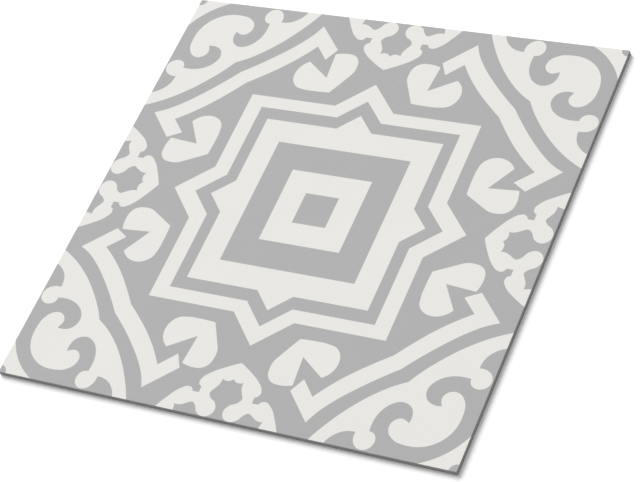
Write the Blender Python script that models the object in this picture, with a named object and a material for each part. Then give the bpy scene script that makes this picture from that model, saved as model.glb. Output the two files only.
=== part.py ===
"""Square vinyl floor tile, face up. Metres, +Z up.

The tile is one solid: a filled-vinyl slab, pressed flat and die-cut to size. The cut leaves
tight upright corners, and rounds the top arris over where the printed face meets the side.
The origin is at the centre of the back, which lies on the subfloor.
"""

import bmesh
import bpy
from mathutils import Matrix

TILE_SIDE = 0.3048
TILE_THICKNESS = 0.0032
CORNER_RADIUS = 0.0005
ARRIS_RADIUS = 0.0003
CORNER_SEGMENTS = 6
ARRIS_SEGMENTS = 4

FACE_COLOUR = (0.44, 0.44, 0.44, 1.0)
FACE_ROUGHNESS = 0.45
CORE_COLOUR = (0.20, 0.20, 0.20, 1.0)
CORE_ROUGHNESS = 0.8
CIRCULAR = 0.5


def clear_scene():
    for obj in list(bpy.data.objects):
        bpy.data.objects.remove(obj)


def plastic(name, colour, roughness):
    """A non-metal Principled material."""
    material = bpy.data.materials.new(name)
    material.use_nodes = True
    shader = material.node_tree.nodes["Principled BSDF"]
    shader.inputs["Base Color"].default_value = colour
    shader.inputs["Roughness"].default_value = roughness
    shader.inputs["Metallic"].default_value = 0.0
    return material


def slab(bm):
    """The uncut block, with its underside on the floor."""
    size = Matrix.Diagonal((TILE_SIDE, TILE_SIDE, TILE_THICKNESS, 1.0))
    lift = Matrix.Translation((0.0, 0.0, TILE_THICKNESS / 2))
    bmesh.ops.create_cube(bm, size=1.0, matrix=lift @ size)


def is_upright(edge):
    start, end = edge.verts
    return abs(start.co.z - end.co.z) > TILE_THICKNESS / 2


def on_top(item):
    return all(vert.co.z > TILE_THICKNESS / 2 for vert in item.verts)


def round_over(bm, edges, radius, segments):
    bmesh.ops.bevel(
        bm,
        geom=edges,
        affect="EDGES",
        offset_type="OFFSET",
        offset=radius,
        segments=segments,
        profile=CIRCULAR,
        clamp_overlap=True,
    )


def die_cut(bm):
    """Rounds the four upright corners, and then the whole top arris."""
    round_over(bm, [edge for edge in bm.edges if is_upright(edge)], CORNER_RADIUS, CORNER_SEGMENTS)
    round_over(bm, [edge for edge in bm.edges if on_top(edge)], ARRIS_RADIUS, ARRIS_SEGMENTS)


def vinyl_tile():
    """The tile: its face and arris take the print's colour, and its cut sides and back the core's."""
    bm = bmesh.new()
    slab(bm)
    die_cut(bm)
    bmesh.ops.recalc_face_normals(bm, faces=bm.faces)
    for face in bm.faces:
        face.material_index = 0 if on_top(face) else 1
        face.smooth = True
    mesh = bpy.data.meshes.new("vinyl_tile")
    bm.to_mesh(mesh)
    bm.free()
    mesh.set_sharp_from_angle(angle=0.6)
    mesh.materials.append(plastic("printed_face", FACE_COLOUR, FACE_ROUGHNESS))
    mesh.materials.append(plastic("vinyl_core", CORE_COLOUR, CORE_ROUGHNESS))
    tile = bpy.data.objects.new("vinyl_tile", mesh)
    bpy.context.scene.collection.objects.link(tile)
    return tile


clear_scene()
vinyl_tile()
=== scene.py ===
"""The looks of the printed vinyl floor tile: its print, its cut rim, its back, and the stage it lies on.

The print is drawn in millimetres from the tile's centre, +Y up, and the tile is cut out of it as a die
cuts a printed sheet. The grain of the materials is in millimetres too, and everything else in metres.
"""

import math

import bmesh
import bpy
import numpy as np
from mathutils import Matrix, Vector
from mathutils.geometry import delaunay_2d_cdt


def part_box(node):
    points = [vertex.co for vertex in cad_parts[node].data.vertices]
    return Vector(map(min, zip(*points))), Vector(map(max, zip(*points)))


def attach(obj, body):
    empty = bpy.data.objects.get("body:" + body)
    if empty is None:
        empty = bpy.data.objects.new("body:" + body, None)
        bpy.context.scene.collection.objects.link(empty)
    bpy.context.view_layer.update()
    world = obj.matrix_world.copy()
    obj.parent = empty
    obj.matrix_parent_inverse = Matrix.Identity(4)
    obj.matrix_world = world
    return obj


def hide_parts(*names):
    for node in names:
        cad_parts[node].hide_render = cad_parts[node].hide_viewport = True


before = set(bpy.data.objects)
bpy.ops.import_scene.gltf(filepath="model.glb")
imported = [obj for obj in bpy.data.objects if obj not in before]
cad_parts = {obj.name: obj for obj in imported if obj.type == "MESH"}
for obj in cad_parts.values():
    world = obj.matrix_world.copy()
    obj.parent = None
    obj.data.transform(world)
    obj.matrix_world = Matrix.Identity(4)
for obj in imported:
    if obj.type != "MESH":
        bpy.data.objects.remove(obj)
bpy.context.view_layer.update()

# The slab
MM = 0.001
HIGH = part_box("vinyl_tile")[1]
HALF_SIDE = HIGH.x
THICKNESS = HIGH.z
CORNER_RADIUS = 0.5 * MM
ARRIS_RADIUS = 0.3 * MM
CORNER_STEPS = 6
ARRIS_STEPS = 4
PRINTED_ARRIS_STEPS = 1

# The longest step along a curve of the print, and how near two of its points count as one where it is cut
CURVE_STEP = 0.5
SAME_POINT = 1e-7

# Concentric squares: half their width along X and along Y, from the inside out
INNER_SQUARE = (11.4, 11.4)
MIDDLE_SQUARE = (27.5, 27.1)
OUTER_SQUARE = (45.9, 46.4)

# Eight-pointed stars: half the square's width along X and Y, and how far their points reach along X and Y
INNER_STAR = (61.5, 62.7, 73.9, 75.0)
BAND_STAR = (69.5, 71.3, 85.2, 86.8)
OUTER_STAR = (80.2, 80.2, 100.5, 100.7)

# Figures of the upper right quarter: where an outline starts, and then its runs
HEART = (
    (35.5, 101.1),
    [(37.1, 120.8)],
    [(33.0, 121.9), (28.2, 122.3), (23.1, 121.3), (19.8, 118.2), (18.5, 113.0), (18.9, 107.9),
     (20.0, 105.3)],
    [(28.7, 89.8)],
    [(39.0, 89.3), (47.6, 89.6), (53.5, 91.2), (57.4, 95.8), (58.4, 102.4), (56.2, 108.3), (52.1, 112.2)],
    [(35.5, 101.1)],
)
BRACKET = (
    (96.5, 96.5),
    [(86.0, 105.2), (75.0, 115.4), (65.4, 125.6), (58.6, 134.8), (54.9, 142.3)],
    [(37.1, 124.4)],
    [(42.3, 115.3)],
    [(52.0, 125.3)],
    [(59.8, 115.2), (68.3, 106.1), (77.5, 97.8), (88.7, 88.7)],
)
SCROLL_CURLS = (
    (136.3, 136.3),
    [(127.9, 141.6), (118.0, 143.0), (109.2, 141.1), (104.5, 136.3), (104.4, 130.8), (109.5, 127.1),
     (112.3, 127.8), (114.4, 129.0)],
    [(114.8, 125.3), (112.5, 119.4), (106.8, 116.8), (100.2, 119.2), (95.7, 124.9), (93.7, 131.9),
     (93.6, 135.6), (93.9, 139.2)],
    [(96.9, 139.8), (99.2, 142.7), (99.2, 147.1), (96.5, 150.6), (92.7, 151.4), (88.6, 149.5),
     (86.4, 145.6), (86.2, 141.3)],
    [(79.7, 142.3), (74.0, 146.3), (70.0, 153.4)],
)
SCROLL_BACK = (
    (59.9, 153.4),
    [(66.7, 141.1), (75.7, 128.3), (86.5, 116.4), (96.7, 108.0), (103.9, 103.7)],
    [(108.2, 97.1), (116.7, 86.6), (128.2, 75.1), (140.9, 65.6), (153.4, 59.0)],
)
ROSETTE = (
    (0.0, 112.7),
    [(8.7, 117.6), (16.6, 123.3), (19.9, 127.2), (20.6, 130.6), (17.9, 133.1)],
    [(17.9, 137.2)],
    [(22.3, 137.2)],
    [(23.4, 135.3), (26.0, 134.6), (30.3, 136.9), (36.3, 144.4), (42.0, 154.4)],
    [(28.9, 154.4)],
    [(29.0, 150.5), (29.8, 147.7)],
    [(27.4, 147.8), (25.0, 147.3), (22.0, 145.5), (18.9, 144.2), (16.4, 146.0), (13.6, 150.1),
     (8.8, 152.1), (4.4, 150.2), (2.8, 146.2), (4.7, 141.9), (9.4, 138.7), (10.8, 136.3), (9.1, 132.5),
     (7.4, 129.1), (7.1, 125.3)],
    [(4.5, 126.2), (1.8, 125.7), (0.0, 124.1)],
)

# The rosettes on each axis: their scale along the side and across it, and how much further out they are
ROSETTE_ON_X = (1.01, 1.007, -1.2)
ROSETTE_ON_Y = (0.99, 0.993, 1.2)

# Corner bands: where on the diagonal their circle is centred, and the part of it that is drawn
CORNER_BAND_CENTRE = 106.7
CORNER_BAND_RADIUS = 50.6
CORNER_BAND_START = math.radians(22)
CORNER_BAND_END = math.radians(68)
CORNER_DISC_RADIUS = 5.0
PAST_THE_SIDE = 5.0

# The tile's material slots, in their order, and their colours
GREY, PALE, CUT, BACK = range(4)
GREY_COLOUR = (0.396, 0.398, 0.397)
PALE_COLOUR = (0.772, 0.763, 0.732)
CORE_COLOUR = (0.25, 0.25, 0.247)
BACK_COLOUR = (0.3, 0.3, 0.295)
INK_SPECULAR = 0.3

# Noises of the materials: the grain's size along X, Y and Z, its detail, and its lowest and highest value
INK_CLOUD = ((40, 40, 40), 2.0, 0.992, 1.008)
INK_STIPPLE = ((0.6, 0.6, 0.6), 2.0, 0.975, 1.025)
INK_ROUGHNESS = ((1.5, 1.5, 1.5), 3.0, 0.6, 0.72)
INK_EMBOSS = ((0.9, 0.9, 0.9), 1.0, 0.0, 0.016 * MM)
INK_TOOTH = ((0.25, 0.25, 0.25), 1.0, 0.0, 0.005 * MM)
CORE_FILLER = ((0.35, 0.35, 0.35), 3.0, 0.8, 1.2)
CORE_DRAG = ((0.5, 0.5, 8), 2.0, 0.88, 1.12)
CORE_ROUGHNESS = ((0.8, 0.8, 0.8), 2.0, 0.68, 0.86)
CORE_MARKS = ((0.3, 0.3, 6), 2.0, 0.0, 0.025 * MM)
CORE_GRIT = ((0.2, 0.2, 0.2), 2.0, 0.0, 0.01 * MM)
BACK_STREAKS = ((60, 1.2, 1.2), 3.0, 0.95, 1.05)
BACK_FILLER = ((0.7, 0.7, 0.7), 3.0, 0.9, 1.1)
BACK_ROUGHNESS = ((3, 3, 3), 3.0, 0.66, 0.82)
BACK_PEBBLE = ((1.4, 1.4, 1.4), 2.0, 0.0, 0.06 * MM)
BACK_DRAWN = ((40, 0.6, 0.6), 2.0, 0.0, 0.012 * MM)

# Nearly all of a noise texture lies between these two values
NOISE_LOW = 0.25
NOISE_HIGH = 0.75

# The stage
FLOOR_HALF = 6.0
FLOOR_DROP = 0.1 * MM
FLOOR_WHITE = 0.92
FLOOR_SEEN = 1.15
KEY_SHARE = 0.57
KEY_ELEVATION = math.radians(36)
KEY_SIDEWAYS = math.radians(51)
KEY_WIDTH = math.radians(47)
CAMERA_AZIMUTH = math.radians(43.03)
CAMERA_ELEVATION = math.radians(49.18)
CAMERA_ROLL = math.radians(-25.47)
CAMERA_DISTANCE = 1.281
CAMERA_AIM = (0.0122, -0.0211)
CAMERA_LENS = 120.0


def smooth_run(knots):
    """Points along a smooth curve through the knots, without its first; two knots make a straight run."""
    if len(knots) == 2:
        return [knots[1]]
    knots = np.array(knots)
    steps = np.diff(knots, axis=0)
    lengths = np.linalg.norm(steps, axis=1)
    headings = steps / lengths[:, None]
    inner = headings[:-1] * lengths[1:, None] + headings[1:] * lengths[:-1, None]
    inner /= np.linalg.norm(inner, axis=1)[:, None]
    first = 2 * (inner[0] @ headings[0]) * headings[0] - inner[0]
    last = 2 * (inner[-1] @ headings[-1]) * headings[-1] - inner[-1]
    tangents = np.vstack([first, inner, last])
    points = []
    for i, length in enumerate(lengths):
        leave = 2 * length / (1 + headings[i] @ tangents[i]) * tangents[i]
        arrive = 2 * length / (1 + headings[i] @ tangents[i + 1]) * tangents[i + 1]
        pieces = math.ceil(length / CURVE_STEP)
        for t in np.arange(1, pieces) / pieces:
            rise = t * t * (3 - 2 * t) * steps[i]
            points.append(tuple(knots[i] + rise + t * (1 - t) ** 2 * leave - t * t * (1 - t) * arrive))
        points.append(tuple(knots[i + 1]))
    return points


def open_outline(figure):
    """The points of a figure: its start, and then its runs, each going on from where the last one ended."""
    points = [figure[0]]
    for run in figure[1:]:
        points += smooth_run([points[-1], *run])
    return points


def arc(centre, radius, start, end):
    """Points along a circle's arc, whose centre is on the diagonal, without the last one."""
    steps = math.ceil((end - start) * radius / CURVE_STEP)
    turns = [start + (end - start) * step / steps for step in range(steps)]
    return [(centre + radius * math.cos(turn), centre + radius * math.sin(turn)) for turn in turns]


def square(half):
    return [(half[0], half[1]), (-half[0], half[1]), (-half[0], -half[1]), (half[0], -half[1])]


def star(widths):
    """A square with a right-angled point in the middle of each side."""
    half_x, half_y, reach_x, reach_y = widths
    base_x = reach_x - half_x
    base_y = reach_y - half_y
    quarter = [(reach_x, 0), (half_x, base_x), (half_x, half_y), (base_y, half_y)]
    upper = quarter + [(0, reach_y)] + [(-x, y) for x, y in reversed(quarter)]
    return upper + [(-x, -y) for x, y in upper[1:-1]]


def in_every_corner(points):
    """The outline in its own quarter of the tile and mirrored into the other three."""
    return [[(flip_x * x, flip_y * y) for x, y in points] for flip_x in (1, -1) for flip_y in (1, -1)]


def hearts():
    """Two in each quarter, drawn whole: one outline and its reflection in the diagonal."""
    one = open_outline(HEART)[:-1]
    return in_every_corner(one) + in_every_corner([(y, x) for x, y in one])


def half_rosette(fit):
    """The rosette that the tile's upper side cuts in half, drawn on one side of the Y axis and mirrored."""
    along, across, further = fit
    right = [(along * x, across * y + further) for x, y in open_outline(ROSETTE)]
    return right + [(-x, y) for x, y in reversed(right) if x != 0]


def half_rosettes():
    """One on each side of the tile; those on Y are a little smaller than those on X."""
    upper = half_rosette(ROSETTE_ON_Y)
    right = [(y, x) for x, y in half_rosette(ROSETTE_ON_X)]
    return [upper, [(x, -y) for x, y in upper], right, [(-x, y) for x, y in right]]


def scrolls():
    """One in each corner; its curls are mirrored in the diagonal, and its back is drawn in full."""
    curls = open_outline(SCROLL_CURLS)
    other_curls = [(y, x) for x, y in reversed(curls[1:])]
    return in_every_corner(curls + open_outline(SCROLL_BACK) + other_curls)


def brackets():
    """One inside each scroll, drawn as far as the diagonal and mirrored in it."""
    half = open_outline(BRACKET)
    return in_every_corner(half + [(y, x) for x, y in reversed(half) if x != y])


def corner_bands():
    """What lies outside a large circle in each corner; it runs past the tile's sides."""
    outside = HALF_SIDE / MM + PAST_THE_SIDE
    edge = arc(CORNER_BAND_CENTRE, CORNER_BAND_RADIUS, CORNER_BAND_START, CORNER_BAND_END)
    return in_every_corner(edge + [(outside, outside)])


def corner_discs():
    return in_every_corner(arc(HALF_SIDE / MM, CORNER_DISC_RADIUS, 0, math.tau))


def printed_figures():
    """(outline, is_pale) of every printed figure, each drawn over those before it."""
    pale = hearts() + half_rosettes() + scrolls() + brackets() + corner_bands()
    figures = [(outline, True) for outline in pale]
    figures += [(outline, False) for outline in corner_discs()]
    figures += [
        (star(OUTER_STAR), True),
        (star(BAND_STAR), False),
        (star(INNER_STAR), True),
        (square(OUTER_SQUARE), False),
        (square(MIDDLE_SQUARE), True),
        (square(INNER_SQUARE), False),
    ]
    return figures


def anticlockwise(points):
    following = points[1:] + points[:1]
    twice_area = sum(x * next_y - next_x * y for (x, y), (next_x, next_y) in zip(points, following))
    return points if twice_area > 0 else points[::-1]


def outward(point):
    """The nearest point of the square that the corner arcs are struck from, and the direction from it."""
    core = HALF_SIDE - CORNER_RADIUS
    anchor = Vector([max(-core, min(core, value)) for value in point])
    return anchor, (Vector(point) - anchor).normalized()


def cut_line(radius):
    """The tile's outline with corner arcs of this radius, struck from the same centres at any inset."""
    core = HALF_SIDE - CORNER_RADIUS
    points = []
    for quarter in range(4):
        start = math.pi / 2 * quarter
        centre_x = math.copysign(core, math.cos(start + math.pi / 4))
        centre_y = math.copysign(core, math.sin(start + math.pi / 4))
        for step in range(CORNER_STEPS + 1):
            turn = start + math.pi / 2 * step / CORNER_STEPS
            points.append((centre_x + radius * math.cos(turn), centre_y + radius * math.sin(turn)))
    return points


def cut_print():
    """The flat face as (points, triangles, whether each triangle is pale)."""
    figures = printed_figures()
    outlines = [cut_line(CORNER_RADIUS - ARRIS_RADIUS)]
    outlines += [[(x * MM, y * MM) for x, y in anticlockwise(outline)] for outline, _ in figures]
    points = [Vector(point) for outline in outlines for point in outline]
    loops = []
    for outline in outlines:
        start = loops[-1][-1] + 1 if loops else 0
        loops.append(list(range(start, start + len(outline))))
    points, _, triangles, _, _, drawn_by = delaunay_2d_cdt(points, [], loops, 0, SAME_POINT)
    kept = []
    pale = []
    for triangle, owners in zip(triangles, drawn_by):
        if 0 in owners:
            top = max(owners)
            kept.append(triangle)
            pale.append(top > 0 and figures[top - 1][1])
    return points, kept, pale


def open_edges(bm):
    return [edge for edge in bm.edges if edge.is_boundary]


def grow_rim(bm, radius, height):
    """Joins the open rim to a new one, with corner arcs of this radius, by faces that it returns."""
    rim = open_edges(bm)
    grown = {}
    for vert in dict.fromkeys(vert for edge in rim for vert in edge.verts):
        anchor, direction = outward(vert.co.xy)
        spot = anchor + direction * radius
        grown[vert] = bm.verts.new((spot.x, spot.y, height))
    faces = []
    for edge in rim:
        worn = edge.link_faces[0].material_index
        start, end = edge.verts
        face = bm.faces.new((start, end, grown[end], grown[start]))
        face.material_index = worn
        faces.append(face)
    return faces


def close_slab(bm):
    """Grows the flat face's rim over the arris and then down the sides, and fills the back."""
    for step in range(1, ARRIS_STEPS + 2):
        turn = math.pi / 2 * min(step, ARRIS_STEPS) / ARRIS_STEPS
        radius = CORNER_RADIUS - ARRIS_RADIUS + ARRIS_RADIUS * math.sin(turn)
        height = THICKNESS - ARRIS_RADIUS * (1 - math.cos(turn)) if step <= ARRIS_STEPS else 0.0
        for face in grow_rim(bm, radius, height):
            face.smooth = step <= ARRIS_STEPS
            if step > PRINTED_ARRIS_STEPS:
                face.material_index = CUT
    back_faces = bmesh.ops.triangle_fill(bm, edges=open_edges(bm), use_beauty=True)["geom"]
    for face in (item for item in back_faces if isinstance(item, bmesh.types.BMFace)):
        face.material_index = BACK


def mark_seams(bm):
    """Parts two materials where they meet, so that the print's outlines stay sharp in a baked texture."""
    for edge in bm.edges:
        edge.seam = len({face.material_index for face in edge.link_faces}) > 1


def tile_mesh():
    """The whole tile as one closed mesh, split between the two inks, the cut sides and the back."""
    points, triangles, pale = cut_print()
    bm = bmesh.new()
    used = sorted({corner for triangle in triangles for corner in triangle})
    verts = {corner: bm.verts.new((points[corner].x, points[corner].y, THICKNESS)) for corner in used}
    for triangle, is_pale in zip(triangles, pale):
        face = bm.faces.new([verts[corner] for corner in triangle])
        face.material_index = PALE if is_pale else GREY
    close_slab(bm)
    bmesh.ops.recalc_face_normals(bm, faces=bm.faces)
    mark_seams(bm)
    mesh = bpy.data.meshes.new("printed_tile")
    bm.to_mesh(mesh)
    bm.free()
    return mesh


def new_material(name):
    material = bpy.data.materials.new(name)
    material.use_nodes = True
    return material, material.node_tree, material.node_tree.nodes["Principled BSDF"]


def stretched(tree, grain):
    """The place on the tile divided by the size of the grain along each axis."""
    place = tree.nodes.new("ShaderNodeTexCoord").outputs["Object"]
    mapping = tree.nodes.new("ShaderNodeMapping")
    mapping.inputs["Scale"].default_value = [1 / (size * MM) for size in grain]
    tree.links.new(place, mapping.inputs["Vector"])
    return mapping.outputs["Vector"]


def noise(tree, grain, detail, low, high):
    """A noise of this grain that goes from low to high."""
    texture = tree.nodes.new("ShaderNodeTexNoise")
    texture.inputs["Scale"].default_value = 1.0
    texture.inputs["Detail"].default_value = detail
    tree.links.new(stretched(tree, grain), texture.inputs["Vector"])
    span = tree.nodes.new("ShaderNodeMapRange")
    span.inputs["From Min"].default_value = NOISE_LOW
    span.inputs["From Max"].default_value = NOISE_HIGH
    span.inputs["To Min"].default_value = low
    span.inputs["To Max"].default_value = high
    tree.links.new(texture.outputs["Fac"], span.inputs["Value"])
    return span.outputs["Result"]


def join(tree, operation, first, second):
    math_node = tree.nodes.new("ShaderNodeMath")
    math_node.operation = operation
    tree.links.new(first, math_node.inputs[0])
    tree.links.new(second, math_node.inputs[1])
    return math_node.outputs["Value"]


def colour_by(tree, shader, colour, first, second):
    """Gives the shader this colour, made darker and lighter by both noises."""
    scale = tree.nodes.new("ShaderNodeVectorMath")
    scale.operation = "SCALE"
    scale.inputs[0].default_value = colour
    brightness = join(tree, "MULTIPLY", noise(tree, *first), noise(tree, *second))
    tree.links.new(brightness, scale.inputs["Scale"])
    tree.links.new(scale.outputs["Vector"], shader.inputs["Base Color"])


def roughen_by(tree, shader, roughness):
    tree.links.new(noise(tree, *roughness), shader.inputs["Roughness"])


def raise_by(tree, shader, first, second):
    """Bumps the shader by the sum of both noises, which is a height."""
    bump = tree.nodes.new("ShaderNodeBump")
    bump.inputs["Distance"].default_value = 1.0
    height = join(tree, "ADD", noise(tree, *first), noise(tree, *second))
    tree.links.new(height, bump.inputs["Height"])
    tree.links.new(bump.outputs["Normal"], shader.inputs["Normal"])


def ink(name, colour):
    """Satin printed vinyl: an even ink with a faint print grain, under a finely embossed clear surface."""
    material, tree, shader = new_material(name)
    colour_by(tree, shader, colour, INK_CLOUD, INK_STIPPLE)
    roughen_by(tree, shader, INK_ROUGHNESS)
    raise_by(tree, shader, INK_EMBOSS, INK_TOOTH)
    shader.inputs["Specular IOR Level"].default_value = INK_SPECULAR
    return material


def cut_core():
    """Filled vinyl where the die went through it: mineral specks and the blade's upright marks."""
    material, tree, shader = new_material("cut_core")
    colour_by(tree, shader, CORE_COLOUR, CORE_FILLER, CORE_DRAG)
    roughen_by(tree, shader, CORE_ROUGHNESS)
    raise_by(tree, shader, CORE_MARKS, CORE_GRIT)
    return material


def back():
    """The unprinted back: plain grey vinyl with a pebbled grain and faint streaks from the rolls."""
    material, tree, shader = new_material("back")
    colour_by(tree, shader, BACK_COLOUR, BACK_STREAKS, BACK_FILLER)
    roughen_by(tree, shader, BACK_ROUGHNESS)
    raise_by(tree, shader, BACK_PEBBLE, BACK_DRAWN)
    return material


def build_tile():
    mesh = tile_mesh()
    for material in (ink("grey_ink", GREY_COLOUR), ink("pale_ink", PALE_COLOUR), cut_core(), back()):
        mesh.materials.append(material)
    tile = bpy.data.objects.new("printed_tile", mesh)
    bpy.context.scene.collection.objects.link(tile)
    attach(tile, "root")
    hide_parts("vinyl_tile")


def white_where_seen(tree, lit, seen):
    """One value for the light that falls on the tile, and another for the camera and in reflections."""
    path = tree.nodes.new("ShaderNodeLightPath")
    reflected = join(tree, "MAXIMUM", path.outputs["Is Glossy Ray"], path.outputs["Is Transmission Ray"])
    looked_at = join(tree, "MAXIMUM", path.outputs["Is Camera Ray"], reflected)
    span = tree.nodes.new("ShaderNodeMapRange")
    span.inputs["To Min"].default_value = lit
    span.inputs["To Max"].default_value = seen
    tree.links.new(looked_at, span.inputs["Value"])
    return span.outputs["Result"]


def build_floor():
    """A white floor, bright enough to the camera for only the shadow close to the tile to show."""
    bpy.ops.mesh.primitive_plane_add(size=2 * FLOOR_HALF, location=(0, 0, -FLOOR_DROP))
    floor = bpy.context.object
    floor.name = "floor"
    material, tree, shader = new_material("floor_white")
    tree.links.new(white_where_seen(tree, FLOOR_WHITE, FLOOR_SEEN), shader.inputs["Base Color"])
    shader.inputs["Roughness"].default_value = 1.0
    shader.inputs["Specular IOR Level"].default_value = 0.0
    floor.data.materials.append(material)


def build_key():
    """A broad lamp from -X and +Y that gives the flat face its share of the light."""
    sun = bpy.data.lights.new("key", "SUN")
    sun.energy = KEY_SHARE * math.pi / math.sin(KEY_ELEVATION)
    sun.angle = KEY_WIDTH
    lamp = bpy.data.objects.new("key", sun)
    direction = Vector((-math.sin(KEY_SIDEWAYS), math.cos(KEY_SIDEWAYS), math.tan(KEY_ELEVATION)))
    lamp.rotation_euler = direction.to_track_quat("Z", "Y").to_euler()
    bpy.context.scene.collection.objects.link(lamp)


def build_world():
    """An even white sky that gives the flat face the rest of the light."""
    world = bpy.data.worlds.new("studio")
    world.use_nodes = True
    tree = world.node_tree
    tree.nodes["Background"].inputs["Color"].default_value = (1, 1, 1, 1)
    strength = white_where_seen(tree, 1 - KEY_SHARE, 1.0)
    tree.links.new(strength, tree.nodes["Background"].inputs["Strength"])
    bpy.context.scene.world = world


def build_camera():
    turn = (
        Matrix.Rotation(CAMERA_AZIMUTH, 4, "Z")
        @ Matrix.Rotation(math.pi / 2 - CAMERA_ELEVATION, 4, "X")
        @ Matrix.Rotation(CAMERA_ROLL, 4, "Z")
    )
    aim = Matrix.Translation((*CAMERA_AIM, THICKNESS))
    back_off = Matrix.Translation((0, 0, CAMERA_DISTANCE))
    data = bpy.data.cameras.new("camera")
    data.lens = CAMERA_LENS
    camera = bpy.data.objects.new("camera", data)
    camera.matrix_world = aim @ turn @ back_off
    bpy.context.scene.collection.objects.link(camera)
    bpy.context.scene.camera = camera


build_tile()
build_floor()
build_key()
build_world()
build_camera()
bpy.context.scene.view_settings.view_transform = "Standard"
